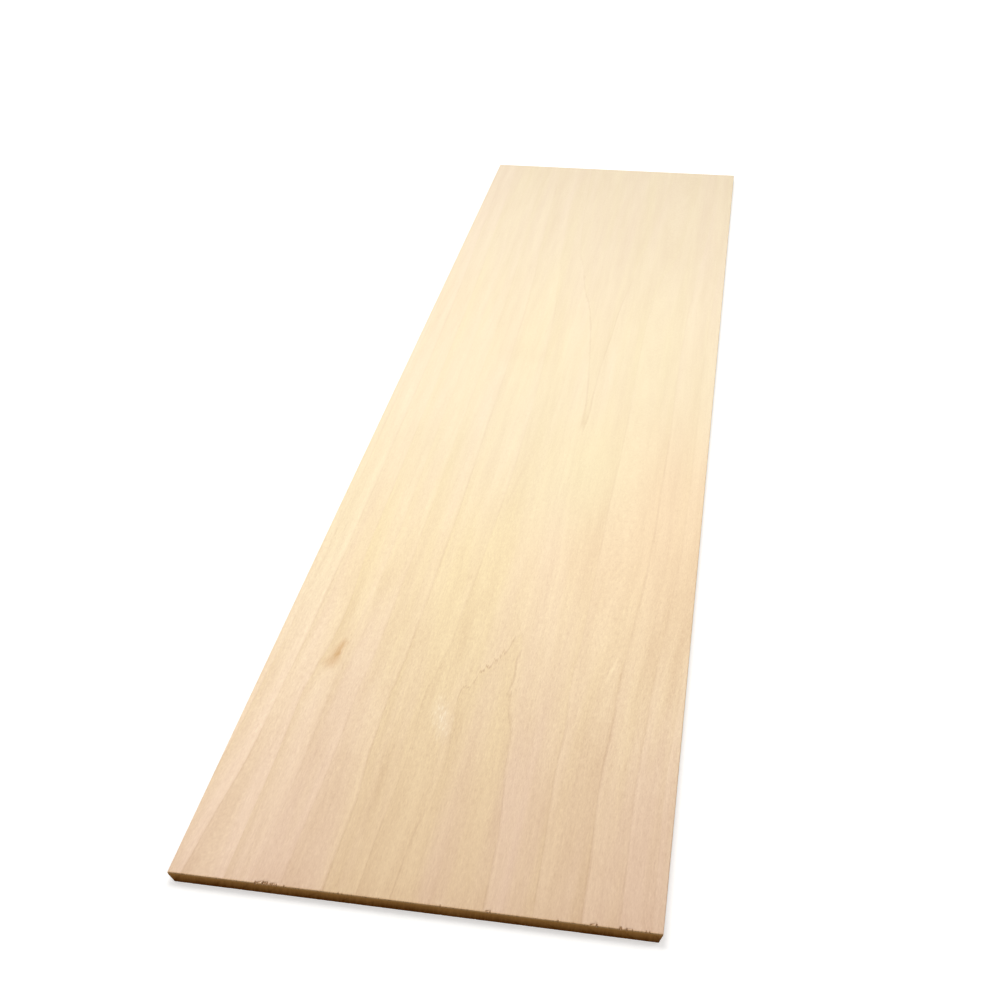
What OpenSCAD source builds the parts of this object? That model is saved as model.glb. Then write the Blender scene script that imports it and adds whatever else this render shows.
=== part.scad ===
// Flat-sawn basswood board, raw stock: two planed faces, two straight long edges and two cross-cut ends.
// The length lies along Y, the width along X and the thickness along Z, with the underside on Z = 0.
// The near end faces -Y. Its saw cut tore fibres out of the top edge and split both lower corners.

/* [Board] */
// Length along the grain
board_l = 600; // [200:10:1200]
// Width across the grain
board_w = 150; // [60:5:300]
// Thickness between the planed faces
board_t = 4; // [2:0.5:25]

/* [Edges] */
// How far light sanding has worn back each arris along the grain
long_arris = 0.3; // [0.05:0.05:0.6]
// How far each arris of the sawn ends is worn back
end_arris = 0.15; // [0.05:0.05:0.4]

/* [Tear-out on the near end] */
// Length of the longest torn fibre, along the grain
tear_l = 2; // [0.6:0.1:5]
// Width of the widest torn fibre, at the end face
tear_w = 0.8; // [0.3:0.1:2.5]
// Depth of the deepest torn fibre, at the end face
tear_d = 0.7; // [0.2:0.1:1.6]
// Number that picks how the torn fibres fall
tear_seed = 12; // [1:1:99]

/* [Split lower corners of the near end] */
// Width lost at the foot of the left corner
split_left = 2; // [0.2:0.1:5]
// Width lost at the foot of the right corner
split_right = 1.2; // [0.2:0.1:5]
// How far a split runs back along the grain
split_l = 11; // [2:1:40]
// Height of sound wood left above a split
split_roof = 0.5; // [0.2:0.1:1.5]

/* [Hidden] */

// Groups of torn fibres on the near end: [place across the width, spread, count, size].
// Place and spread are shares of the width, measured from the left edge. Size is a share of the
// largest length, width and depth.
TEAR_GROUPS = [
    [0.033, 0.012, 2, 0.5],
    [0.196, 0.018, 5, 1.0],
    [0.222, 0.008, 4, 0.7],
    [0.242, 0.004, 1, 0.7],
    [0.322, 0.006, 1, 0.5],
    [0.360, 0.006, 2, 0.6],
    [0.447, 0.010, 1, 0.4],
    [0.563, 0.003, 1, 0.9],
    [0.655, 0.008, 2, 0.8],
    [0.793, 0.004, 1, 0.7],
    [0.823, 0.005, 2, 0.6],
    [0.870, 0.003, 1, 1.0],
    [0.897, 0.005, 1, 0.6],
    [0.932, 0.020, 5, 0.8],
    [0.970, 0.008, 2, 0.6]
];
// The smallest torn fibre of a group is at least this share of its largest
tear_least = 0.6;
// Cutting shapes run this far past the faces that they cut
over = 1;

// Rectangle, centred on X and Y, with its corners cut back by cut_x and cut_y
module eased_rectangle(size_x, size_y, cut_x, cut_y) {
    x = size_x / 2;
    y = size_y / 2;
    polygon([
        for (s = [[1, 1], [-1, 1], [-1, -1], [1, -1]])
            let (long_first = s.x * s.y > 0)
                for (end = [0, 1])
                    let (on_side = (end == 0) == long_first)
                        [s.x * (x - (on_side ? 0 : cut_x)), s.y * (y - (on_side ? cut_y : 0))]
    ]);
}

// Planed and cut to size, with every arris eased: three outlines, one along each axis, hold it
module blank() {
    intersection() {
        // Section across the grain
        translate([0, board_l / 2 + over, board_t / 2])
            rotate([90, 0, 0])
                linear_extrude(board_l + 2 * over)
                    eased_rectangle(board_w, board_t, long_arris, long_arris);
        // Outline from the side
        translate([-board_w / 2 - over, 0, board_t / 2])
            rotate([90, 0, 90])
                linear_extrude(board_w + 2 * over)
                    eased_rectangle(board_l, board_t, end_arris, end_arris);
        // Outline from above
        translate([0, 0, -over])
            linear_extrude(board_t + 2 * over)
                eased_rectangle(board_w, board_l, end_arris, end_arris);
    }
}

// Sliver torn out along the grain: as deep as stated at the end face, and running out to nothing.
// Its tip is at the origin, on the top face, and the end face lies run away along -Y.
module torn_fibre(width, run, depth) {
    floor_slope = atan(depth / run);
    reach = (run + over) / cos(floor_slope);
    half_w = width / 2 * (run + over) / run;
    rotate([floor_slope, 0, 0])
        linear_extrude(depth + over)
            polygon([[0, 0], [-half_w, -reach], [half_w, -reach]]);
}

// All torn fibres of the near end. Each one falls inside its group, and its three sizes vary together.
module tear_out() {
    for (g = [0 : len(TEAR_GROUPS) - 1]) {
        group = TEAR_GROUPS[g];
        shifts = rands(-1, 1, group[2], tear_seed + g);
        sizes = rands(tear_least, 1, group[2], 2 * tear_seed + g) * group[3];
        for (i = [0 : group[2] - 1]) {
            share = group[0] + group[1] * shifts[i];
            run = tear_l * sizes[i];
            translate([board_w * (share - 0.5), run - board_l / 2, board_t])
                torn_fibre(tear_w * sizes[i], run, tear_d * sizes[i]);
        }
    }
}

// Everything beyond the plane through a, b and c, on the side from which they run clockwise
module beyond_plane(a, b, c, size) {
    n = cross(c - a, b - a);
    rotation = [0, acos(n.z / norm(n)), atan2(n.y, n.x)];
    translate(a)
        rotate(rotation)
            translate([-size / 2, -size / 2, 0])
                cube(size);
}

// Corner lost from the foot of the near left corner: width across, split_l along, tapering up to split_roof
module split_corner(width) {
    left = -board_w / 2;
    near = -board_l / 2;
    beyond_plane(
        [left, near, board_t - split_roof],
        [left + width, near, 0],
        [left, near + split_l, 0],
        4 * (split_l + board_t + width)
    );
}

module board() {
    color("burlywood")
        difference() {
            blank();
            tear_out();
            split_corner(split_left);
            mirror([1, 0, 0]) split_corner(split_right);
        }
}

board();
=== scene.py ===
"""A flat-sawn basswood board lying on a pale floor: its camera, light, finish and torn, sawn ends."""
import functools
import math
import operator

import bpy
import numpy as np
from mathutils import Euler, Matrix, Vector
from mathutils.bvhtree import BVHTree


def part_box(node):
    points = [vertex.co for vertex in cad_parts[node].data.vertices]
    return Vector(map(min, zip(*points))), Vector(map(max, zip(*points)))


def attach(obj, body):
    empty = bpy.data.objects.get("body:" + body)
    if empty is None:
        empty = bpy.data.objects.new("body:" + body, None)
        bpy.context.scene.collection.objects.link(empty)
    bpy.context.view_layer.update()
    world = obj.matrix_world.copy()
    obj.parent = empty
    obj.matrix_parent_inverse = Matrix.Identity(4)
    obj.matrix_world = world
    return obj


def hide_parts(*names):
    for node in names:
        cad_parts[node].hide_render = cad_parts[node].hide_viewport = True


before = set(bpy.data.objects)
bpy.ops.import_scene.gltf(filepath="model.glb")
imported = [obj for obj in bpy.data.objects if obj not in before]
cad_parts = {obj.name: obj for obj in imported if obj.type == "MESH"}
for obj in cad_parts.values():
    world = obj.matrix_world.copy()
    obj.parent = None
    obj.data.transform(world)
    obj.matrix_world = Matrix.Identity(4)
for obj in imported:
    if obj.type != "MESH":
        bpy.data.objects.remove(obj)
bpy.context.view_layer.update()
LOW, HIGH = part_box("board")
CENTRE = (LOW + HIGH) / 2
SIZE = HIGH - LOW
MM = 0.001


# ---------------------------------------------------------------- camera, floor and light

CAMERA_PLACE = (0.0790, -0.5733, 0.3353)  # m
CAMERA_AZIMUTH = 10.26         # degrees that it is turned to the left
CAMERA_ELEVATION = 33.76       # degrees that it looks down
CAMERA_ROLL = -1.02            # degrees
CAMERA_LENS = 51.19            # mm
LAMP_COLOUR = (1.0, 0.985, 0.96)
SKY_COLOUR = (1.0, 0.975, 0.94)
SKY_STRENGTH = 0.352
FLOOR_HALF = 6.0               # from the floor's middle to its edges, m
FLOOR_SEEN = 0.75              # how pale the floor looks to the camera, before its glow
FLOOR_LIT = 0.3                # how pale it is to the light that it returns
GLOW_RISE = (0.35, 0.75)       # how far from the middle the floor's glow starts to rise and is full, m
GLOW_STRENGTHS = (0.5, 1.0)    # the glow at those two places, where 1 is white


def make_camera():
    """Looks down along the board from beyond the right of its near end, as over a bench."""
    data = bpy.data.cameras.new("camera")
    data.lens = CAMERA_LENS
    tilt = math.pi / 2 - math.radians(CAMERA_ELEVATION)
    turn = Euler((tilt, 0, math.radians(CAMERA_AZIMUTH)), "XYZ").to_matrix()
    roll = Euler((0, 0, math.radians(CAMERA_ROLL)), "XYZ").to_matrix()
    camera = bpy.data.objects.new("camera", data)
    camera.location = CAMERA_PLACE
    camera.rotation_euler = (turn @ roll).to_euler()
    bpy.context.scene.collection.objects.link(camera)
    bpy.context.scene.camera = camera


def make_lamp(name, place, aim, size, power):
    """A soft square lamp that faces aim. Places and size in m, power in W."""
    data = bpy.data.lights.new(name, "AREA")
    data.shape = "SQUARE"
    data.size = size
    data.energy = power
    data.color = LAMP_COLOUR
    lamp = bpy.data.objects.new(name, data)
    lamp.location = place
    lamp.rotation_euler = (Vector(aim) - Vector(place)).to_track_quat("-Z", "Y").to_euler()
    bpy.context.scene.collection.objects.link(lamp)


def seen_as_backdrop(nodes, links):
    """1 for rays that show the backdrop, straight or in gloss or glass, and 0 for those that light things."""
    path = nodes.new("ShaderNodeLightPath")
    share = path.outputs["Is Camera Ray"]
    for kind in ("Is Glossy Ray", "Is Transmission Ray"):
        either = nodes.new("ShaderNodeMath")
        either.operation = "MAXIMUM"
        links.new(share, either.inputs[0])
        links.new(path.outputs[kind], either.inputs[1])
        share = either.outputs[0]
    return share


def show_by_ray(nodes, links, lighting, seen, output):
    """Gives output the shader seen for rays that show the backdrop, and lighting for all others."""
    either = nodes.new("ShaderNodeMixShader")
    out = nodes.new(output)
    links.new(seen_as_backdrop(nodes, links), either.inputs["Fac"])
    links.new(lighting.outputs[0], either.inputs[1])
    links.new(seen.outputs[0], either.inputs[2])
    links.new(either.outputs[0], out.inputs["Surface"])


def background(nodes, colour, strength):
    """A background shader of one colour."""
    shader = nodes.new("ShaderNodeBackground")
    shader.inputs["Color"].default_value = (*colour, 1)
    shader.inputs["Strength"].default_value = strength
    return shader


def make_world():
    """Even light from all round, which the camera sees as plain white."""
    world = bpy.data.worlds.new("studio")
    world.use_nodes = True
    nodes = world.node_tree.nodes
    links = world.node_tree.links
    nodes.clear()
    light = background(nodes, SKY_COLOUR, SKY_STRENGTH)
    backdrop = background(nodes, (1, 1, 1), 1)
    show_by_ray(nodes, links, light, backdrop, "ShaderNodeOutputWorld")
    bpy.context.scene.world = world


def matt_grey(nodes, level):
    """A matt grey shader."""
    shader = nodes.new("ShaderNodeBsdfDiffuse")
    shader.inputs["Color"].default_value = (level, level, level, 1)
    return shader


def glow_with_distance(nodes, links):
    """The floor's glow: low round the board, where its shadow falls, and rising to white further off."""
    place = nodes.new("ShaderNodeTexCoord")
    distance = nodes.new("ShaderNodeVectorMath")
    distance.operation = "LENGTH"
    links.new(place.outputs["Object"], distance.inputs[0])
    ramp = nodes.new("ShaderNodeMapRange")
    ramp.interpolation_type = "SMOOTHSTEP"
    ramp.inputs["From Min"].default_value = GLOW_RISE[0]
    ramp.inputs["From Max"].default_value = GLOW_RISE[1]
    ramp.inputs["To Min"].default_value = GLOW_STRENGTHS[0]
    ramp.inputs["To Max"].default_value = GLOW_STRENGTHS[1]
    links.new(distance.outputs["Value"], ramp.inputs["Value"])
    glow = nodes.new("ShaderNodeEmission")
    glow.inputs["Color"].default_value = (1, 1, 1, 1)
    links.new(ramp.outputs["Result"], glow.inputs["Strength"])
    return glow


def make_floor():
    """A wide floor: near white to the camera, whiter far off, and a middling grey to the light it returns."""
    mesh = bpy.data.meshes.new("floor")
    corners = [(x * FLOOR_HALF, y * FLOOR_HALF, LOW.z) for x, y in ((-1, -1), (1, -1), (1, 1), (-1, 1))]
    mesh.from_pydata(corners, [], [(0, 1, 2, 3)])
    floor = bpy.data.objects.new("floor", mesh)
    bpy.context.scene.collection.objects.link(floor)
    material = bpy.data.materials.new("floor")
    material.use_nodes = True
    nodes = material.node_tree.nodes
    links = material.node_tree.links
    nodes.clear()
    glowing = nodes.new("ShaderNodeAddShader")
    links.new(matt_grey(nodes, FLOOR_SEEN).outputs[0], glowing.inputs[0])
    links.new(glow_with_distance(nodes, links).outputs[0], glowing.inputs[1])
    show_by_ray(nodes, links, matt_grey(nodes, FLOOR_LIT), glowing, "ShaderNodeOutputMaterial")
    mesh.materials.append(material)


# ---------------------------------------------------------------- the board's mesh

SIDE_ROWS = 12             # rows of faces up each edge and each sawn end
COARSE_COLUMNS = 250       # columns across the board away from its ends
# Finenesses of the columns: each has twice as many as the one before
COARSE, MIDDLING, FINEST = range(3)
FINE_REACH = 2.4           # how far back from the near end the finest columns reach, mm
MIDDLE_REACH = 13.0        # and the middling ones, which take in the split corners
EDGE_COLUMNS = (0.0, 0.1, 0.2, 0.3, 0.45, 0.7)  # places of columns in from a long edge, mm
EVEN_COLUMNS_FROM = 1.0    # and where the evenly spaced ones start
NEAR_ROWS = (0.0, 0.05, 0.1, 0.15)  # places of rows back from the near end, mm
EVEN_ROWS_FROM = 0.3       # and where the evenly spaced ones start
STRETCH_ROWS = 14          # rows in each evenly spaced stretch
COARSE_GAP = 1.0           # between the coarse stretch and the rows beside it, mm
# Places of rows back from the far end, mm
FAR_ROWS = (7.0, 5.0, 3.5, 2.5, 1.8, 1.3, 0.9, 0.6, 0.4, 0.25, 0.15, 0.07, 0.0)
CORNER_EASE = 0.15         # how far the upright corners are worn back, mm
LONG_ARRIS = 0.3           # how far the CAD board's long arrises are eased, mm
RAY_INSET = 0.01 * MM      # rays are cast this much nearer the middle, so that they don't miss at the rim
LATTICE = 256              # whole places after which the mesh's noise repeats

FUZZ_RUN = 0.1             # how far back the shortest broken fibres of a sawn end reach, mm
FUZZ_RUN_SPREAD = 1.1      # how much further the longest ones reach, mm
FUZZ_DEPTH = 0.02          # how far the slightest of them drops the surface, mm
FUZZ_DEPTH_SPREAD = 0.5    # how much further the deepest one does, mm
# How rough the other arrises of the sawn ends are, as shares of the near end's top one
FAR_TOP_FUZZ = 0.5
NEAR_UNDER_FUZZ = 0.4
FAR_UNDER_FUZZ = 0.6
LEAST_THICKNESS = 0.15     # what is left between the top face's torn edge and a split corner, mm
SPLIT_ROUGH_FROM = 0.4     # a split's splinters are at their roughest from this far above the eased arris, mm
SPLINTER_HEIGHT = 0.5      # how far the highest splinters stand out, mm
SAW_DEPTH = 0.01           # how deep the saw scored the ends at the least, mm
STROKE_DEPTH = 0.07        # how much deeper its deepest strokes go, mm
TORN_PORE_DEPTH = 0.05     # and the deepest of the pores that it tore
STROKE_LEAN = 0.12         # mm that the strokes lean sideways for each mm of thickness
CRACK_RAGGED = 0.15        # how far a crack's sides wander, mm
CRACK_SIDES = 1.6          # how many half widths from its middle a crack runs out
CRACK_START = 1.2          # the share of its depth that a crack has at its start: 1 more than at its end
# Cracks under lifted fibres at the near end's top edge, mm: from across, along to across, along; width; depth
CRACKS = (
    (27.7, 0.1, 30.2, 1.3, 0.45, 0.30),
    (30.2, 0.7, 32.0, 1.2, 0.6, 0.25),
    (32.4, 0.5, 34.6, 1.0, 0.7, 0.20),
    (98.0, 0.4, 99.8, 1.0, 0.4, 0.25),
    (128.9, 0.3, 130.6, 1.1, 0.4, 0.25),
    (138.9, 0.2, 141.5, 0.8, 0.4, 0.18),
)

SIDES = ("top", "right", "bottom", "left")  # in order round the section
# Which of the board's materials each side and each sawn end wears
MATERIAL_OF = {"top": 0, "bottom": 0, "right": 1, "left": 1, "near": 2, "far": 2}
SHARP_ANGLE = 28           # degrees between two faces from which the edge between them looks sharp
# Where each side lies in the texture, as shares of its height, and the margin at its left and right
TEXTURE_BANDS = {
    "near": (0.004, 0.030), "far": (0.036, 0.054), "right": (0.060, 0.078), "left": (0.084, 0.102),
    "bottom": (0.110, 0.540), "top": (0.548, 0.996),
}
BAND_MARGIN = 0.004
# The shares of a band's length that the fine rows take, and the fine and middling rows together
FINE_SHARE = 0.06
MIDDLE_SHARE = 0.12


def board_columns():
    """Places across the board, crowded where the long arrises are eased, at each fineness."""
    half = SIZE.x / 2 / MM
    edge = np.array(EDGE_COLUMNS)
    even = COARSE_COLUMNS + 1 - 2 * len(edge)
    middle = np.linspace(-half + EVEN_COLUMNS_FROM, half - EVEN_COLUMNS_FROM, even)
    levels = [np.concatenate([-half + edge, middle, (half - edge)[::-1]])]
    while len(levels) <= FINEST:
        last = levels[-1]
        halves = np.empty(2 * len(last) - 1)
        halves[0::2] = last
        halves[1::2] = (last[1:] + last[:-1]) / 2
        levels.append(halves)
    return [CENTRE.x + level * MM for level in levels]


def board_rows():
    """(distance from the near end in mm, fineness) of each row of vertices."""
    length = SIZE.y / MM
    fine = np.linspace(EVEN_ROWS_FROM, FINE_REACH, STRETCH_ROWS, endpoint=False)
    middling = np.linspace(FINE_REACH, MIDDLE_REACH, STRETCH_ROWS)
    coarse = np.linspace(MIDDLE_REACH + COARSE_GAP, length - (FAR_ROWS[0] + COARSE_GAP), STRETCH_ROWS)
    rows = [(distance, FINEST) for distance in (*NEAR_ROWS, *fine)]
    rows += [(distance, MIDDLING) for distance in middling]
    rows += [(distance, COARSE) for distance in coarse]
    rows += [(length - distance, MIDDLING) for distance in FAR_ROWS]
    return rows


class Skin:
    """Heights of the CAD board's top and bottom surfaces at any place, read by casting rays at it."""

    def __init__(self, node):
        mesh = node.data
        mesh.calc_loop_triangles()
        corners = [v.co.copy() for v in mesh.vertices]
        self.tree = BVHTree.FromPolygons(corners, [tuple(t.vertices) for t in mesh.loop_triangles])

    def height(self, x, y, side):
        """Height of the top surface (side 1) or the bottom one (side -1) at x, y."""
        x -= math.copysign(RAY_INSET, x - CENTRE.x)
        y -= math.copysign(RAY_INSET, y - CENTRE.y)
        start = Vector((x, y, CENTRE.z + side * SIZE.z))
        hit = self.tree.ray_cast(start, Vector((0, 0, -side)))[0]
        return hit.z


def eased(share):
    """A share from 0 to 1, made to start and end gently."""
    return share * share * (3 - 2 * share)


def lattice_noise(x, y, seed):
    """Random values at whole places, blended smoothly between them."""
    grid = np.random.default_rng(seed).random((LATTICE, LATTICE))
    x, y = np.broadcast_arrays(np.asarray(x, float), np.asarray(y, float))
    column = np.floor(x).astype(int)
    row = np.floor(y).astype(int)
    right = eased(x - column)
    up = eased(y - row)

    def at(i, j):
        return grid[(column + i) % LATTICE, (row + j) % LATTICE]

    low = at(0, 0) * (1 - right) + at(1, 0) * right
    high = at(0, 1) * (1 - right) + at(1, 1) * right
    return low * (1 - up) + high * up


def layered_noise(x, y, seed, octaves=3):
    """Smooth noise from 0 to 1 at the places x, y, whose features are about 1 wide."""
    weights = [0.5**octave for octave in range(octaves)]
    layers = [w * lattice_noise(x * 2**k, y * 2**k, seed + k) for k, w in enumerate(weights)]
    return sum(layers) / sum(weights)


def rare_peaks(across, width, seed):
    """Noise across an end that is near 0 in most places and near 1 in few. width: its features', in mm."""
    return layered_noise(across / width, 0.0, seed, 2) ** 4


def fuzz(across, distance, seed):
    """How far short broken fibres drop the surface, in mm, at this distance in mm from a sawn end."""
    run = FUZZ_RUN + FUZZ_RUN_SPREAD * rare_peaks(across, 0.5, seed)
    depth = FUZZ_DEPTH + FUZZ_DEPTH_SPREAD * rare_peaks(across, 0.4, seed + 5)
    return depth * np.clip(1 - distance / run, 0, 1)


def cracks(across, distance):
    """How deep the cracks under lifted fibres are, in mm, at this distance in mm from the near end."""
    deepest = np.zeros_like(across)
    ragged = CRACK_RAGGED * (layered_noise(across / 0.4, distance / 0.4, 70, 2) - 0.5)
    for x0, y0, x1, y1, width, depth in CRACKS:
        run_x = x1 - x0
        run_y = y1 - y0
        share = ((across - x0) * run_x + (distance - y0) * run_y) / (run_x**2 + run_y**2)
        share = np.clip(share, 0, 1)
        off = np.hypot(across - x0 - share * run_x, distance - y0 - share * run_y) + ragged
        profile = np.clip(CRACK_SIDES - off / (width / 2), 0, 1)
        deepest = np.maximum(deepest, depth * profile * (CRACK_START - share))
    return deepest


def saw_marks(x, z, near_end):
    """How deep the saw scored the end, in mm: upright strokes that lean a little, over rough torn pores."""
    seed = 80 if near_end else 90
    leaning = x + STROKE_LEAN * z
    strokes = layered_noise(leaning / 0.7, z / 6.0, seed, 3)
    pores = layered_noise(x / 0.22, z / 0.3, seed + 7, 2)
    return SAW_DEPTH + STROKE_DEPTH * strokes + TORN_PORE_DEPTH * pores


def splinters(across, distance):
    """How far a split's splinters stand out of it, in mm: long ridges, broken off in short steps."""
    ridges = layered_noise(across / 0.45, distance / 5.0, 110, 3)
    steps = layered_noise(across / 0.6, distance / 1.1, 117, 2)
    return SPLINTER_HEIGHT * ridges * np.clip(2.2 * steps - 0.3, 0, 1)


def corner_squeeze(distance):
    """The share of its width that worn corners leave the board, at this distance in mm from the near end."""
    from_end = min(distance, SIZE.y / MM - distance)
    lost = max(0.0, CORNER_EASE - from_end)
    return 1 - lost / (SIZE.x / 2 / MM)


def top_heights(skin, xs, distance):
    """Heights along one row of the top surface, dropped by its fuzz and cracks."""
    y = LOW.y + distance * MM
    across = (xs - LOW.x) / MM
    torn = fuzz(across, distance, 20) + cracks(across, distance)
    torn = torn + FAR_TOP_FUZZ * fuzz(across, SIZE.y / MM - distance, 30)
    return np.array([skin.height(x, y, 1) for x in xs]) - torn * MM


def bottom_heights(skin, xs, distance):
    """Heights along one row of the bottom surface, raised by its fuzz and by the splits' splinters."""
    y = LOW.y + distance * MM
    across = (xs - LOW.x) / MM
    frayed = NEAR_UNDER_FUZZ * fuzz(across, distance, 60)
    frayed = frayed + FAR_UNDER_FUZZ * fuzz(across, SIZE.y / MM - distance, 40)
    heights = np.array([skin.height(x, y, -1) for x in xs]) + frayed * MM
    split = np.clip((heights - LOW.z) / MM - LONG_ARRIS, 0, SPLIT_ROUGH_FROM) / SPLIT_ROUGH_FROM
    return heights + split * splinters(across, distance) * MM


def section(skin, xs, distance):
    """The places of one row of vertices: its top, right edge, bottom and left edge."""
    y = LOW.y + distance * MM
    top = top_heights(skin, xs, distance)
    bottom = np.minimum(bottom_heights(skin, xs, distance), top - LEAST_THICKNESS * MM)
    shares = np.arange(1, SIDE_ROWS) / SIDE_ROWS
    over = [(x, y, z) for x, z in zip(xs, top)]
    right = [(xs[-1], y, top[-1] + s * (bottom[-1] - top[-1])) for s in shares]
    under = [(x, y, z) for x, z in zip(xs[::-1], bottom[::-1])]
    left = [(xs[0], y, bottom[0] + s * (top[0] - bottom[0])) for s in shares]
    return over, right, under, left


def number_loop(start, columns):
    """Vertex numbers of one row's top, right edge, bottom and left edge. Neighbours share their corner."""
    between = SIDE_ROWS - 1  # vertices of an edge between its corners
    top = list(range(start, start + columns))
    right = list(range(start + columns - 1, start + columns + between + 1))
    bottom = list(range(start + columns + between, start + 2 * columns + between))
    left = [*range(start + 2 * columns + between - 1, start + 2 * columns + 2 * between), start]
    return top, right, bottom, left


def join_strips(a, b):
    """Faces between two rows of vertices. Where one is twice as fine, each face takes two of its steps."""
    if len(a) == len(b):
        return [(a[i], a[i + 1], b[i + 1], b[i]) for i in range(len(a) - 1)]
    if len(a) > len(b):
        return [(a[2 * i], a[2 * i + 1], a[2 * i + 2], b[i + 1], b[i]) for i in range(len(b) - 1)]
    return [(a[i], a[i + 1], b[2 * i + 2], b[2 * i + 1], b[2 * i]) for i in range(len(a) - 1)]


def cap(places, loop, near_end):
    """Faces of a sawn end: a grid of vertices between the top and bottom edges, scored by the saw."""
    top, right, bottom, left = loop
    columns = bottom[::-1]
    end = LOW.y if near_end else HIGH.y
    inward = 1 if near_end else -1
    grid = [top]
    for k in range(1, SIDE_ROWS):
        highs = np.array([places[i] for i in top[1:-1]])
        lows = np.array([places[i] for i in columns[1:-1]])
        spots = highs + (lows - highs) * k / SIDE_ROWS
        depth = saw_marks(spots[:, 0] / MM, spots[:, 2] / MM, near_end)
        start = len(places)
        places += [(x, end + inward * d * MM, z) for (x, _, z), d in zip(spots, depth)]
        grid.append([left[len(left) - 1 - k], *range(start, len(places)), right[k]])
    grid.append(columns)
    faces = []
    for upper, lower in zip(grid[:-1], grid[1:]):
        for i in range(len(upper) - 1):
            face = (upper[i], lower[i], lower[i + 1], upper[i + 1])
            faces.append(face if near_end else face[::-1])
    return faces


def build_board_mesh():
    """The board as one closed skin: its vertices, its faces, and the side that each face is on."""
    levels = board_columns()
    skin = Skin(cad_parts["board"])
    places = []
    loops = []
    for distance, level in board_rows():
        xs = CENTRE.x + (levels[level] - CENTRE.x) * corner_squeeze(distance)
        loops.append(number_loop(len(places), len(xs)))
        for part in section(skin, xs, distance):
            places += part
    strips = []
    for near, far in zip(loops[:-1], loops[1:]):
        strips += [(side, join_strips(a, b)) for side, a, b in zip(SIDES, near, far)]
    strips.append(("near", cap(places, loops[0], True)))
    strips.append(("far", cap(places, loops[-1], False)))
    faces = [face for _, strip in strips for face in strip]
    kinds = [side for side, strip in strips for _ in strip]
    return places, faces, kinds


def lay_out(mesh, kinds):
    """A texture layout with each side in a band of its own, so that the most pixels lie across the grain."""
    counts = [face.loop_total for face in mesh.polygons]
    corners = np.empty(sum(counts), int)
    mesh.loops.foreach_get("vertex_index", corners)
    places = np.array([v.co for v in mesh.vertices])[corners]
    x, y, z = ((places - np.array(LOW)) / np.array(SIZE)).T
    reach = np.array([0.0, FINE_REACH, MIDDLE_REACH]) * MM / SIZE.y
    lengthwise = np.interp(y, [*reach, 1.0], [0.0, FINE_SHARE, MIDDLE_SHARE, 1.0])
    uv = np.empty((len(corners), 2))
    of_side = np.repeat(np.array(kinds), counts)
    for side, (low, high) in TEXTURE_BANDS.items():
        here = of_side == side
        u = lengthwise if side in ("right", "left") else x
        v = lengthwise if side in ("top", "bottom") else z
        uv[here, 0] = BAND_MARGIN + (1 - 2 * BAND_MARGIN) * u[here]
        uv[here, 1] = low + (high - low) * v[here]
    layer = mesh.uv_layers.new(name="OFBake")
    layer.uv.foreach_set("vector", uv.ravel())


def make_board(materials):
    """The board's shown piece, which stands for the CAD solid. materials: for its faces, edges and ends."""
    places, faces, kinds = build_board_mesh()
    mesh = bpy.data.meshes.new("basswood_board")
    mesh.from_pydata(places, [], faces)
    for material in materials:
        mesh.materials.append(material)
    mesh.polygons.foreach_set("material_index", [MATERIAL_OF[side] for side in kinds])
    mesh.polygons.foreach_set("use_smooth", [True] * len(faces))
    mesh.set_sharp_from_angle(angle=math.radians(SHARP_ANGLE))
    lay_out(mesh, kinds)
    mesh.validate()
    mesh.update()
    board = bpy.data.objects.new("basswood_board", mesh)
    bpy.context.scene.collection.objects.link(board)
    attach(board, "root")
    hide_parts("board")


# ---------------------------------------------------------------- values that vary through the wood

SHADE_TAKES = (0.42, 0.60, 0.74)  # the shares of red, green and blue light that a shade of 1 takes away
MARK_DEPTH = 5.0                  # how far down a mark in the top face reaches, mm


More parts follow.
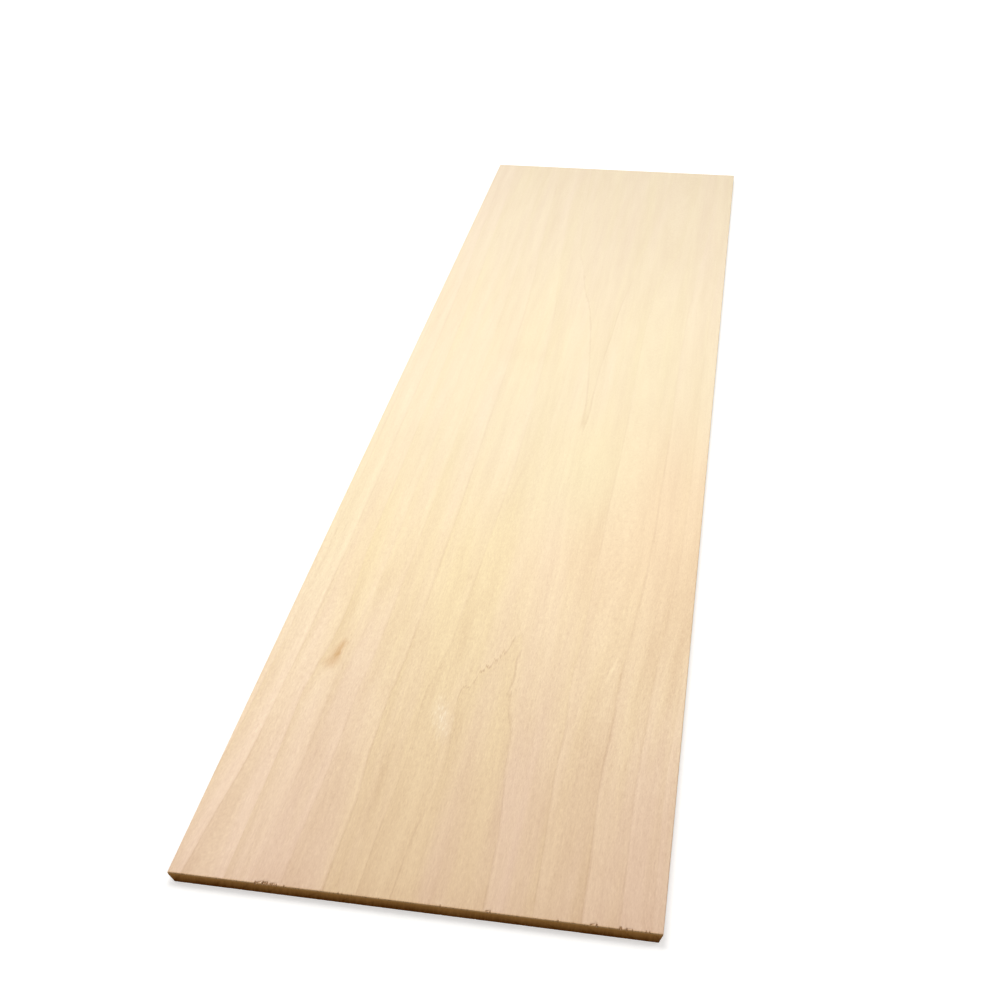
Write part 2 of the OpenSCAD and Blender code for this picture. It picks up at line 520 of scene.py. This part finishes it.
class Field:
    """A number that varies through the wood: the output of a shader node, which operators combine."""

    def __init__(self, tree, socket):
        self.tree = tree
        self.socket = socket

    def math(self, operation, *others, clamp=False):
        """What a Math node makes of this value and the others."""
        node = self.tree.nodes.new("ShaderNodeMath")
        node.operation = operation
        node.use_clamp = clamp
        set_inputs(self.tree, node, (self, *others))
        return Field(self.tree, node.outputs[0])

    def __add__(self, other):
        return self.math("ADD", other)

    def __radd__(self, other):
        return self.math("ADD", other)

    def __sub__(self, other):
        return self.math("SUBTRACT", other)

    def __rsub__(self, other):
        return self.math("MULTIPLY_ADD", -1.0, other)

    def __mul__(self, other):
        return self.math("MULTIPLY", other)

    def __rmul__(self, other):
        return self.math("MULTIPLY", other)

    def __truediv__(self, other):
        return self.math("DIVIDE", other)

    def __pow__(self, other):
        return self.math("POWER", other)

    def __abs__(self):
        return self.math("ABSOLUTE")

    def root(self):
        return self.math("SQRT")

    def whole(self):
        return self.math("FLOOR")

    def at_least(self, other):
        return self.math("MAXIMUM", other)

    def at_most(self, other):
        return self.math("MINIMUM", other)

    def clamped(self):
        """Held between 0 and 1."""
        return self.math("MULTIPLY", 1.0, clamp=True)

    def smooth(self, low, high, least=0.0, most=1.0):
        """least up to low, most from high, and a smooth rise between them. low may be the larger."""
        node = self.tree.nodes.new("ShaderNodeMapRange")
        node.interpolation_type = "SMOOTHSTEP"
        node.clamp = True
        flip = low > high
        node.inputs["From Min"].default_value = min(low, high)
        node.inputs["From Max"].default_value = max(low, high)
        node.inputs["To Min"].default_value = most if flip else least
        node.inputs["To Max"].default_value = least if flip else most
        self.tree.links.new(self.socket, node.inputs["Value"])
        return Field(self.tree, node.outputs["Result"])

    def bell(self, middle, reach):
        """1 at middle, falling to 0 at reach on either side."""
        return abs(self - middle).smooth(reach, 0.0)

    def through(self, points):
        """The smooth curve through points [(in, out), ...] read at this value."""
        xs, ys = zip(*points)
        low = min(ys)
        high = max(ys)
        node = self.tree.nodes.new("ShaderNodeFloatCurve")
        curve = node.mapping.curves[0]
        for _ in range(len(points) - 2):
            curve.points.new(0.5, 0.5)
        for point, x, y in zip(curve.points, xs, ys):
            point.location = ((x - xs[0]) / (xs[-1] - xs[0]), (y - low) / (high - low))
        node.mapping.update()
        self.tree.links.new(((self - xs[0]) / (xs[-1] - xs[0])).socket, node.inputs["Value"])
        return Field(self.tree, node.outputs[0]) * (high - low) + low


def set_inputs(tree, node, values):
    """Gives a node's first inputs these numbers or Fields."""
    for slot, value in enumerate(values):
        if isinstance(value, Field):
            tree.links.new(value.socket, node.inputs[slot])
        else:
            node.inputs[slot].default_value = value


def vector(x, y, z):
    """Three numbers or Fields as one vector socket."""
    tree = next(v.tree for v in (x, y, z) if isinstance(v, Field))
    node = tree.nodes.new("ShaderNodeCombineXYZ")
    set_inputs(tree, node, (x, y, z))
    return node.outputs[0]


def total(fields):
    """The sum of several Fields."""
    return functools.reduce(operator.add, fields)


def noise(x, y, z, detail, roughness=0.5, lift=0.0):
    """Noise from about -1 to 1, with features about 1 wide in x, y and z. lift: picks the pattern."""
    place = vector(x + lift, y + lift, z + lift)
    tree = x.tree
    node = tree.nodes.new("ShaderNodeTexNoise")
    node.noise_dimensions = "3D"
    node.inputs["Scale"].default_value = 1.0
    node.inputs["Detail"].default_value = detail
    node.inputs["Roughness"].default_value = roughness
    tree.links.new(place, node.inputs["Vector"])
    return Field(tree, node.outputs["Fac"]) * 2.0 - 1.0


def chance(number, lift=0.0):
    """A random value from 0 to 1 for each whole number. lift: picks the values."""
    node = number.tree.nodes.new("ShaderNodeTexWhiteNoise")
    node.noise_dimensions = "1D"
    number.tree.links.new((number + lift).socket, node.inputs["W"])
    return Field(number.tree, node.outputs["Value"])


def mark(tree, spot, across, along, half_width, half_length, lean, amount, depth=MARK_DEPTH):
    """A soft spot in the wood, drawn out along the grain, sizes in mm. spot: the vector socket of places."""
    place = tree.nodes.new("ShaderNodeMapping")
    place.vector_type = "TEXTURE"
    place.inputs["Location"].default_value = (across, along, 0)
    place.inputs["Rotation"].default_value = (0, 0, -math.atan(lean))
    place.inputs["Scale"].default_value = (half_width, half_length, depth)
    tree.links.new(spot, place.inputs["Vector"])
    gradient = tree.nodes.new("ShaderNodeTexGradient")
    gradient.gradient_type = "SPHERICAL"
    tree.links.new(place.outputs[0], gradient.inputs["Vector"])
    return Field(tree, gradient.outputs["Fac"]) * amount


def light_of(level):
    """The share of light that shows as this level, 0 to 255, on a screen."""
    share = level / 255
    return share / 12.92 if share <= 0.04045 else ((share + 0.055) / 1.055) ** 2.4


def mix(tree, amount, first, second):
    """The colour between first and second: each a socket, or three levels as on a screen, 0 to 255."""
    node = tree.nodes.new("ShaderNodeMix")
    node.data_type = "RGBA"
    node.clamp_factor = True
    tree.links.new(amount.socket, node.inputs["Factor"])
    # The node's colours are its inputs 6 and 7 and its output 2
    for slot, colour in ((6, first), (7, second)):
        if isinstance(colour, tuple):
            node.inputs[slot].default_value = (*map(light_of, colour), 1.0)
        else:
            tree.links.new(colour, node.inputs[slot])
    return node.outputs[2]


def darken(colour, shade):
    """colour, with less light where shade is above 0 and more where it is below."""
    tree = shade.tree
    factor = tree.nodes.new("ShaderNodeVectorMath")
    factor.operation = "MULTIPLY_ADD"
    tree.links.new(shade.socket, factor.inputs[0])
    factor.inputs[1].default_value = [-share for share in SHADE_TAKES]
    factor.inputs[2].default_value = (1, 1, 1)
    product = tree.nodes.new("ShaderNodeVectorMath")
    product.operation = "MULTIPLY"
    tree.links.new(colour, product.inputs[0])
    tree.links.new(factor.outputs[0], product.inputs[1])
    return product.outputs[0]


# ---------------------------------------------------------------- how basswood grows, and where its tones lie

PITH_ACROSS = 88.0  # the line where the rings would centre, mm from the left edge
PITH_DEPTH = 60.0   # and its depth below the top face, mm
RING_WIDTH = 6.3    # a usual ring's width, mm
LEAST_SLOPE = 0.035  # the least slope at which a ring is taken to meet the face, so that no line is too wide
# Where each growth ring ends, mm further from the pith than the top face's nearest place, and how dark the
# thin line there is
RING_LINES = (
    (-13.0, 0.3), (-6.5, 0.35), (0.0, 1.0), (4.5, 0.3), (11.3, 0.5), (18.2, 0.25), (24.6, 0.15),
    (31.7, 0.25), (37.9, 0.45), (44.0, 0.3),
)
# How much each ring darkens from its start to its end, at such distances
RING_SWINGS = (
    (-13.0, 0.5), (-9.5, 0.6), (-3.0, 0.3), (2.0, 0.8), (8.0, 0.7), (15.0, 0.9), (21.0, 0.5),
    (28.0, 0.9), (34.5, 1.3), (41.0, 1.2), (44.0, 1.0),
)
# The middle of the pointed figure, mm from the left edge, at mm from the near end
FIGURE_PATH = (
    (0, 81.0), (27, 82.0), (42, 83.3), (65, 83.0), (80, 81.0), (92, 79.8), (98, 81.7), (105, 83.4),
    (113, 85.4), (128, 88.4), (200, 91.0), (288, 93.8), (310, 93.2), (340, 92.0), (370, 91.4),
    (396, 90.0), (424, 87.8), (446, 86.5), (462, 84.5), (520, 82.5), (562, 82.0), (600, 81.5),
)
FIGURE_REACH = (85, 36)  # the grain follows that path fully here, and not at all this far to either side, mm
# How far the wood bows away from the pith, mm, at mm from the near end: the figure's points are where it is 0
BOW = (
    (0, -1.78), (27, -1.5), (42, -1.17), (65, -0.88), (80, -0.94), (92, -0.80), (98, -0.48), (105, -0.32),
    (113, -0.11), (128, 0.0), (200, 0.4), (278, 0.0), (310, -0.03), (340, -0.105), (370, -0.3),
    (396, -0.53), (424, -1.15), (446, -1.6), (462, -2.2), (520, -3.7), (562, -4.6), (600, -5.6),
)
# Darker (+) and paler (-) marks in the top face: middle across and along, half width and half length, mm;
# lean, mm across for each mm along; amount
MARKS = (
    (0.6, 212, 0.9, 0.9, 0.0, 0.50),
    (10.5, 22, 1.8, 60, 0.0, 0.12),
    (30.0, 152, 11, 10, 0.0, 0.05),
    (39.0, 163, 2.0, 22, 0.0, 0.06),
    (22.0, 136, 3.5, 20, 0.05, 0.05),
    (15.5, 122, 4.5, 36, 0.0, -0.10),
    (32.0, 114, 5.0, 24, 0.0, -0.05),
    (33.0, 122, 5.5, 32, 0.0, -0.05),
    (54.2, 50, 2.6, 26, 0.01, 0.10),
    (45.0, 62, 4.0, 40, 0.0, -0.04),
    (38.0, 55, 13, 6, 0.0, 0.07),
    (68.0, 126, 2.0, 28, 0.0, 0.05),
    (63.8, 160, 1.3, 2.2, 0.0, 0.20),
    (98.0, 25, 4.0, 56, -0.03, -0.05),
    (114.0, 36, 3.2, 56, 0.0, -0.05),
    (114.0, 85, 1.1, 9, 0.0, 0.10),
    (111.0, 145, 1.3, 65, 0.0, -0.05),
    (123.1, 113, 0.8, 15, 0.12, -0.22),
    (127.3, 152, 1.9, 30, 0.0, -0.06),
    (144.5, 90, 1.7, 75, 0.0, 0.06),
    (72.3, 92, 1.3, 1.7, 0.0, 0.22),
    (48.0, 347, 5.5, 18, 0.0, 0.13),
    (62.0, 343, 12, 10, 0.0, 0.09),
    (49.0, 302, 4.6, 24, 0.0, 0.055),
    (38.0, 308, 6.0, 55, 0.0, -0.04),
    (93.4, 285, 0.9, 12, 0.0, 0.07),
    (71.5, 236, 0.8, 12, 0.10, 0.18),
    (69.8, 219, 0.9, 9, 0.15, 0.16),
    (111.3, 240, 0.6, 26, 0.0, 0.09),
    (112.6, 240, 0.7, 26, 0.0, -0.07),
    (115.0, 300, 1.4, 36, 0.03, -0.06),
    (121.0, 311, 1.5, 30, 0.0, 0.07),
    (139.0, 337, 1.7, 24, 0.0, 0.06),
    (98.0, 212, 1.0, 1.9, 0.0, 0.16),
    (45.0, 229, 1.0, 1.9, 0.0, 0.16),
    (18.0, 370, 1.2, 2.4, 0.0, 0.14),
    (19.0, 485, 2.6, 24, -0.12, 0.07),
    (41.5, 561, 0.8, 20, -0.10, 0.09),
    (47.0, 509, 1.7, 32, 0.0, 0.05),
    (69.0, 430, 2.6, 18, 0.0, 0.05),
    (87.5, 559, 1.6, 26, -0.08, 0.08),
    (92.0, 503, 1.2, 15, 0.0, 0.06),
    (118.0, 558, 1.0, 32, 0.16, -0.08),
    (138.0, 585, 10, 38, 0.0, 0.06),
    (134.0, 430, 1.5, 38, 0.0, 0.07),
)
# A pale patch of lifted fibres beside the pointed figure, in the same form
PALE_PATCH = (68.9, 79, 4.4, 13.5, -0.27, 0.52)
# The pin knot's lobes, in the same form
KNOT_LOBES = (
    (24.8, 111.3, 2.1, 5.8, 0.10, 0.47),
    (24.7, 106.9, 2.0, 3.8, 0.10, 0.31),
    (23.9, 102.8, 3.4, 5.4, 0.15, 0.36),
    (20.8, 102.8, 2.8, 3.6, 0.10, 0.17),
    (23.2, 107.3, 2.6, 4.6, 0.10, 0.15),
    (24.4, 111.5, 4.2, 17.0, 0.05, 0.11),
)
KNOT_DEPTH = 9.0    # how far down the knot's lobes reach, mm
KNOT_LEAN = 1.05    # mm that the knot moves toward the pith for each mm down


def rise(low, high, least=0.0, most=1.0):
    """Where a region starts: least up to low, most from high, which may be the nearer."""
    return lambda place: place.smooth(low, high, least, most)


def peak(middle, reach):
    """Where a region is fullest, and how far to either side it reaches."""
    return lambda place: place.bell(middle, reach)


def anywhere(place):
    """For a region that isn't bounded in this direction."""
    return 1.0


# Soft-edged regions of the board. Each row says where across, mm from the left edge, where along, mm from the
# near end, and how much. First, how far the grain is pushed to the right, mm
SQUEEZES = (
    (peak(17, 12), rise(90, 0), 1.2),
    (peak(48, 13), rise(62, 34), 2.2),
    (peak(20, 9), peak(130, 50), 2.5),
)
# How far it bows to the left, or to the right where below 0, mm
BOWS = (
    (rise(96, 112), rise(200, 0), 3.6),
    (rise(112, 126), rise(60, 215), -6.0),
)
# The left leg of the near pointed figure
LEFT_LEG = (peak(72, 9), rise(104, 84))
# Where the rings' lines die out
LOST_LINES = (
    (rise(92, 97, 0.3, 0.8), rise(385, 430), 1.0),
    (rise(93.5, 95.5, 0.35, 0.6), peak(335, 75), 1.0),
    (peak(93.5, 6), peak(277, 16), 0.45),
    (anywhere, rise(430, 475), 0.4),
)
# Where they are faint
FAINT_LINES = (
    (peak(83, 30), rise(104, 84), 0.62),
    (*LEFT_LEG, 0.3),
    (peak(96, 6), rise(80, 62), 0.2),
)
# Where they are missing, at the right of the near figure's point
BARE_POINT = (rise(85.5, 87.5), peak(124, 13), 0.85)
# Where they are darker, because the plane tore them, at the left of that point
TORN_LINES = (peak(79, 10), peak(109, 23), 0.25)
# Where it is paler, toward the near left: partly the wood's own tone, partly painted light, as if more light
# fell there
PALER_TONE_AND_LIGHT = (
    (rise(28, 8), rise(175, 55), 0.2),
    (peak(22, 20), rise(130, 80), 0.06),
)
# Where it is darker: along the near end, most at its left corner, and toward the right edge in the nearer
# part; partly the wood's own tone, partly painted shade where less light falls
DARKER_TONE_AND_SHADE = (
    (rise(14, 4, 0.08, 0.16), rise(14, 0), 1.0),
    (rise(95, 125), rise(110, 50), 0.04),
    (rise(120, 132), peak(145, 85), 0.07),
)
# Where it is more tan
TANNED = (peak(64, 22), rise(250, 160), 0.8)
# Where it is pinker: all along the left edge, and in patches
PINK_EDGE = (rise(30, 5), anywhere, 0.25)
PINKER = (
    (peak(30, 24), rise(130, 70), 0.6),
    (rise(118, 140), rise(110, 40), 0.4),
    (rise(16, 8), peak(140, 110), 0.4),
    (peak(97, 6), peak(50, 45), 0.6),
    (peak(33, 9), peak(115, 50), 0.5),
    (peak(15, 5), peak(115, 50), 0.5),
)
# Where it turns peachy
PEACHY = (rise(60, 140), peak(190, 160), 0.75)
# Where it turns to the colour of straw
STRAWY = (
    (peak(98, 36), peak(248, 74), 0.75),
    (rise(14, 8), peak(200, 120), 0.45),
)
# Between these places, mm from the near end, the grain grows clearer
CLEAR_GRAIN = (330, 60)
FLARE_LENGTH = 88   # how far back from the near left corner the grain starts to flare to the left, mm
FLARE = 4.0         # and how far it has moved at the corner, mm

# Colours as on a screen, 0 to 255: plain wood at the far end, tan and pink
FAR_TONES = ((241, 225, 193), (241, 223, 197))
# The tones that take over nearer: between which places, mm from the near end, tan and pink. The nearest are
# darker and tanner: partly the wood's own drift, partly painted shade where less light falls
NEARER_TONES_AND_SHADE = (
    (500, 340, (245, 229, 193), (245, 227, 197)),
    (300, 150, (249, 227, 183), (249, 225, 191)),
    (200, -25, (235, 204, 164), (236, 203, 175)),
)
PEACH = (249, 221, 184)
STRAW = (247, 231, 191)
LIFTED_FIBRE = (248, 229, 207)
KNOT_BROWN = (200, 142, 58)
FUZZ_COLOUR = (236, 190, 132)
# Two colours that noise blends: paler and darker
# Torn inner wood in chips, splits and cracks: partly its own darker tone, partly painted shade in those
# hollows
TORN_WOOD_AND_SHADE = ((184, 138, 84), (130, 90, 48))
# End grain: partly its own brown, partly painted shade on ends turned away from the light
END_GRAIN_AND_SHADE = ((222, 163, 92), (118, 64, 7))
# A painted highlight along the top arris of the sawn ends, where broken fibres catch the light
ARRIS_HIGHLIGHT = (248, 204, 142)


class Wood:
    """The wood's own coordinates and patterns, in mm from the board's left edge, near end and top face."""

    def __init__(self, tree):
        self.tree = tree
        place = tree.nodes.new("ShaderNodeTexCoord")
        parts = tree.nodes.new("ShaderNodeSeparateXYZ")
        tree.links.new(place.outputs["Object"], parts.inputs[0])
        x, y, z = (Field(tree, parts.outputs[i]) for i in range(3))
        self.across = (x - LOW.x) / MM
        self.along = (y - LOW.y) / MM
        self.down = (HIGH.z - z) / MM
        self.bend_grain()
        self.grow_rings()

    def straight_noise(self, width, length, depth, detail, roughness=0.5, lift=0.0):
        """Noise with features of this width, length and depth in mm, as if the grain ran straight."""
        return noise(self.across / width, self.along / length, self.down / depth, detail, roughness, lift)

    def grain_noise(self, width, length, depth, detail, roughness=0.5, lift=0.0):
        """The same, bent with the grain."""
        return noise(self.sideways / width, self.along / length, self.down / depth, detail, roughness, lift)

    def region(self, across, along, amount=1.0):
        """amount in a soft-edged region, and 0 outside it."""
        return across(self.across) * along(self.along) * amount

    def regions(self, rows):
        """The sum of a table's regions."""
        return total(self.region(*row) for row in rows)

    def bend_grain(self):
        """Grain that flares at the near left corner and bows at the right, stepped from fibre to fibre."""
        slow = self.straight_noise(60, 240, 40, detail=1.0)
        feather = self.straight_noise(0.55, 22, 0.8, detail=2.0, roughness=0.7, lift=7)
        flare = ((1.0 - self.along / FLARE_LENGTH).clamped() ** 1.15) * self.across.smooth(16, 5) * FLARE
        straight = self.across + slow * 1.2 + feather * 0.12
        self.sideways = straight + flare - self.regions(SQUEEZES) + self.regions(BOWS)
        bundles = self.straight_noise(1.4, 60, 1.4, detail=1.0, lift=9)
        self.lengthways = self.along + feather * 5.0 + bundles * 6.0
        self.spot = vector(self.sideways, self.lengthways, self.down)

    def grow_rings(self):
        """Which ring each place lies in, how far into it, and how far across the board its end is."""
        near_figure = self.sideways.bell(*FIGURE_REACH)
        shift = (self.lengthways.through(FIGURE_PATH) - PITH_ACROSS) * near_figure
        out = self.sideways - PITH_ACROSS - shift
        depth = PITH_DEPTH - self.down
        radius = (out * out + depth * depth).root()
        self.grown = radius + self.lengthways.through(BOW) - PITH_DEPTH
        rings = self.grown.through([(end, number) for number, (end, _) in enumerate(RING_LINES)])
        self.ring = rings.whole()
        self.into_ring = rings - self.ring
        slope = (abs(out) / radius).at_least(LEAST_SLOPE)
        self.to_ring_end = self.into_ring.at_most(1.0 - self.into_ring) * RING_WIDTH / slope
        self.past_ring_start = self.into_ring * RING_WIDTH / slope


def growth_shade(wood):
    """How much darker the rings make the wood: each starts with a thin pale line and ends with a dark one."""
    tone = chance(wood.ring, lift=5.3) - 0.5
    left_leg = wood.region(*LEFT_LEG)
    # The step in tone at a ring's end is softer away from the near end
    blurred = (1.0 - wood.to_ring_end.smooth(0.0, 1.8)) * wood.along.smooth(40, 150) * 0.8
    body = (wood.into_ring.smooth(0.1, 1.0) - 0.45) * wood.grown.through(RING_SWINGS) * (1.0 - blurred)
    line = wood.to_ring_end.smooth(0.75, 0.1) * 0.42 - wood.past_ring_start.smooth(1.9, 0.7) * 0.09
    broken = wood.grain_noise(3, 16, 3, detail=2.0, roughness=0.7, lift=29) * 0.9 + 0.75
    strength = wood.grown.through(RING_LINES) * broken * (1.0 - wood.regions(LOST_LINES).clamped())
    strength = strength * (1.0 - wood.regions(FAINT_LINES)) * (1.0 - wood.region(*BARE_POINT))
    return tone * 0.03 + body * (0.11 - left_leg * 0.05) + line * (strength + wood.region(*TORN_LINES))


def short_dashes(wood):
    """The pattern of the short dashes along the grain: above 0 in dark ones, below 0 in pale ones."""
    return wood.grain_noise(0.5, 2.6, 0.5, detail=1.0, roughness=0.6, lift=19)


def lifted_fibres(wood):
    """How much the patch of lifted fibres shows: most in its pale dashes."""
    return mark(wood.tree, wood.spot, *PALE_PATCH) * (short_dashes(wood).smooth(-0.10, -0.36) + 0.6)


def pore_shade(wood):
    """Short dark and pale dashes along the grain, where its pores and rays are cut, over fine grit."""
    soft = wood.grain_noise(0.9, 4.5, 0.9, detail=2.0, roughness=0.8, lift=17)
    grit = wood.grain_noise(0.3, 1.1, 0.3, detail=0.0, roughness=0.5, lift=23)
    dashes = short_dashes(wood)
    fine = dashes.smooth(0.10, 0.36) * 0.10 - dashes.smooth(-0.10, -0.36) * 0.11 + grit * 0.115
    soft_part = soft * 0.205 * wood.along.smooth(*CLEAR_GRAIN, least=0.18)
    fine_part = fine * wood.along.smooth(*CLEAR_GRAIN, least=0.3)
    return (soft_part + fine_part) * wood.along.smooth(30, 75, least=0.8)


def wood_shade(wood):
    """How much darker (above 0) or paler (below 0) each place is than plain wood, some of it painted shade
    and painted light.
    """
    streaks = wood.grain_noise(7, 110, 7, detail=3.0, roughness=0.85, lift=12)
    marks = (mark(wood.tree, wood.spot, *numbers) for numbers in MARKS)
    figure = total([growth_shade(wood), streaks * 0.34, *marks]) * wood.along.smooth(*CLEAR_GRAIN, least=0.5)
    return figure + pore_shade(wood) + wood.regions(DARKER_TONE_AND_SHADE) - wood.regions(PALER_TONE_AND_LIGHT) - lifted_fibres(wood) * 0.2


def knot_amount(wood):
    """How much of the pin knot's brown shows. The knot runs through the board toward the pith."""
    ragged = wood.straight_noise(1.2, 4.0, 3.0, detail=2.0, roughness=0.6, lift=41)
    moved = wood.across - wood.down * KNOT_LEAN + ragged * 1.3
    spot = vector(moved, wood.along + ragged * 2.5, wood.down)
    return total(mark(wood.tree, spot, *numbers, depth=KNOT_DEPTH) for numbers in KNOT_LOBES).clamped()


def wood_colour(wood):
    """Cream wood, warmer and darker toward the near end, partly as painted shade, in pink and tan bands that
    follow its rings.
    """
    tree = wood.tree
    hue = wood.grain_noise(14, 260, 12, detail=2.0, roughness=0.7, lift=3) * 1.1 + 0.5
    ringed = (wood.into_ring - 0.45) * wood.grown.through(RING_SWINGS) * 0.4
    pink = (hue + wood.region(*PINK_EDGE) - ringed - wood.region(*TANNED) + wood.regions(PINKER)).clamped()
    colour = mix(tree, pink, *FAR_TONES)
    for start, full, tan_tone, pink_tone in NEARER_TONES_AND_SHADE:
        colour = mix(tree, wood.along.smooth(start, full), colour, mix(tree, pink, tan_tone, pink_tone))
    colour = mix(tree, wood.region(*PEACHY), colour, PEACH)
    colour = mix(tree, wood.regions(STRAWY), colour, STRAW)
    colour = mix(tree, lifted_fibres(wood), colour, LIFTED_FIBRE)
    colour = darken(colour, wood_shade(wood))
    return mix(tree, knot_amount(wood), colour, KNOT_BROWN)


# ---------------------------------------------------------------- the board's materials

PLANED_ROUGHNESS = 0.62
RIPPED_ROUGHNESS = 0.68
SAWN_ROUGHNESS = 0.85
SAWN_GLOSS = 0.03              # the sawn ends' specular level
RIP_LEAN = 0.2                 # mm that the long edges' saw marks lean along the board for each mm down
BROKEN_DEPTHS = (0.04, 0.25)   # how far inside the whole board wood starts to look torn, and does fully, mm


def broken_amount(wood):
    """1 where fibres are torn out or split off near the near end, so that rough inner wood shows, its dark
    partly painted shade.
    """
    thick = SIZE.z / MM
    wide = SIZE.x / MM
    inside = wood.down.at_most(thick - wood.down)
    from_edge = wide / 2 - abs(wood.across - wide / 2)
    eased_by = (LONG_ARRIS - from_edge).at_least(0.0)
    return (inside - eased_by).smooth(*BROKEN_DEPTHS) * wood.along.smooth(MIDDLE_REACH, MIDDLE_REACH - 2)


def new_wood(name):
    """A wood material, its node tree and its shader."""
    material = bpy.data.materials.new(name)
    material.use_nodes = True
    tree = material.node_tree
    return material, tree, tree.nodes["Principled BSDF"]


def add_bump(tree, shader, height, distance, strength):
    """Fine relief from height, 0 to 1, over distance in mm."""
    bump = tree.nodes.new("ShaderNodeBump")
    bump.inputs["Distance"].default_value = distance * MM
    bump.inputs["Strength"].default_value = strength
    tree.links.new(height.socket, bump.inputs["Height"])
    tree.links.new(bump.outputs[0], shader.inputs["Normal"])


def planed_wood():
    """The two faces: planed, dry and matt, with fine pores, and rough inner wood where fibres tore, its dark
    partly painted shade.
    """
    material, tree, shader = new_wood("planed_faces")
    wood = Wood(tree)
    grit = wood.straight_noise(0.4, 0.9, 0.4, detail=2.0, roughness=0.7, lift=37)
    fuzzy = wood.along.smooth(0.5, 0.1) * (grit * 0.4 + 0.6)
    edge = wood.along.smooth(1.4, 0.0) * (grit * 0.5 + 0.04)
    torn_and_shade = (broken_amount(wood) * (0.8 + grit * 0.3) + edge).clamped()
    fibres = wood.straight_noise(0.3, 3.5, 0.3, detail=2.0, roughness=0.7, lift=39) * 1.2 + 0.5
    colour = mix(tree, fuzzy, wood_colour(wood), FUZZ_COLOUR)
    # Torn wood near the near end: partly its own darker tone, partly painted shade in the chips and cracks
    colour = mix(tree, torn_and_shade, colour, mix(tree, fibres.clamped(), *TORN_WOOD_AND_SHADE))
    tree.links.new(colour, shader.inputs["Base Color"])
    pores = wood.grain_noise(0.25, 3.0, 0.25, detail=2.0, roughness=0.6, lift=51)
    tree.links.new((PLANED_ROUGHNESS + pores * 0.06).socket, shader.inputs["Roughness"])
    add_bump(tree, shader, pores * 0.5 + 0.5, distance=0.03, strength=0.5)
    return material


def ripped_wood():
    """The two long edges: cut along the grain, with its fine lines lengthwise and faint upright saw marks."""
    material, tree, shader = new_wood("ripped_edges")
    wood = Wood(tree)
    lines = noise(wood.down / 0.45, wood.along / 38, wood.across / 30, detail=3.0, roughness=0.75, lift=43)
    leaning = wood.along + wood.down * RIP_LEAN
    saw = noise(leaning / 0.55, wood.down / 7.0, wood.across / 30, detail=2.0, roughness=0.6, lift=47)
    colour = darken(wood_colour(wood), lines * 0.22 + saw * 0.10)
    tree.links.new(colour, shader.inputs["Base Color"])
    tree.links.new((RIPPED_ROUGHNESS + saw * 0.06).socket, shader.inputs["Roughness"])
    add_bump(tree, shader, (lines + saw) * 0.25 + 0.5, distance=0.05, strength=0.6)
    return material


def sawn_wood():
    """Sawn ends: darker, rougher end grain, partly painted shade and darkest at the bottom as painted shadow,
    with the rings as faint arcs and torn pores.
    """
    material, tree, shader = new_wood("sawn_end_grain")
    wood = Wood(tree)
    arcs = wood.to_ring_end.smooth(0.8, 0.1)
    pores = wood.straight_noise(0.15, 2.0, 0.15, detail=2.0, roughness=0.6, lift=61)
    leaning = wood.across + wood.down * STROKE_LEAN
    strokes = noise(leaning / 0.6, wood.along / 9.0, wood.down / 5.0, detail=3.0, roughness=0.6, lift=67)
    blotch = wood.straight_noise(14, 9.0, 4.0, detail=2.0, lift=71)
    depth = wood.down / (SIZE.z / MM)
    # Darker toward the bottom of the end: painted contact shadow where it meets what lies beneath
    amount = depth.smooth(-0.15, 1.1) + pores * 0.22 + strokes * 0.28 + blotch * 0.2 + arcs * 0.12 - 0.01
    # A painted highlight along the top arris, where broken fibres catch the light
    rim_highlight = wood.down.smooth(0.95, 0.0) * (0.85 + strokes * 0.8)
    colour = mix(tree, amount.clamped(), *END_GRAIN_AND_SHADE)
    colour = mix(tree, rim_highlight.clamped(), colour, ARRIS_HIGHLIGHT)
    tree.links.new(colour, shader.inputs["Base Color"])
    shader.inputs["Roughness"].default_value = SAWN_ROUGHNESS
    shader.inputs["Specular IOR Level"].default_value = SAWN_GLOSS
    add_bump(tree, shader, pores * 0.5 + 0.5, distance=0.12, strength=0.6)
    return material


# ---------------------------------------------------------------- the scene

bpy.context.scene.view_settings.view_transform = "Standard"
make_camera()
make_floor()
make_world()
make_lamp("window", place=(-0.13, 0.09, 0.70), aim=(0.0, 0.06, 0.0), size=0.4, power=3.1)
for direction in (-1, 1):
    make_lamp("fill", place=(direction * 0.75, 0.15, 0.42), aim=(0.0, 0.0, 0.0), size=0.5, power=1.5)
make_board([planed_wood(), ripped_wood(), sawn_wood()])
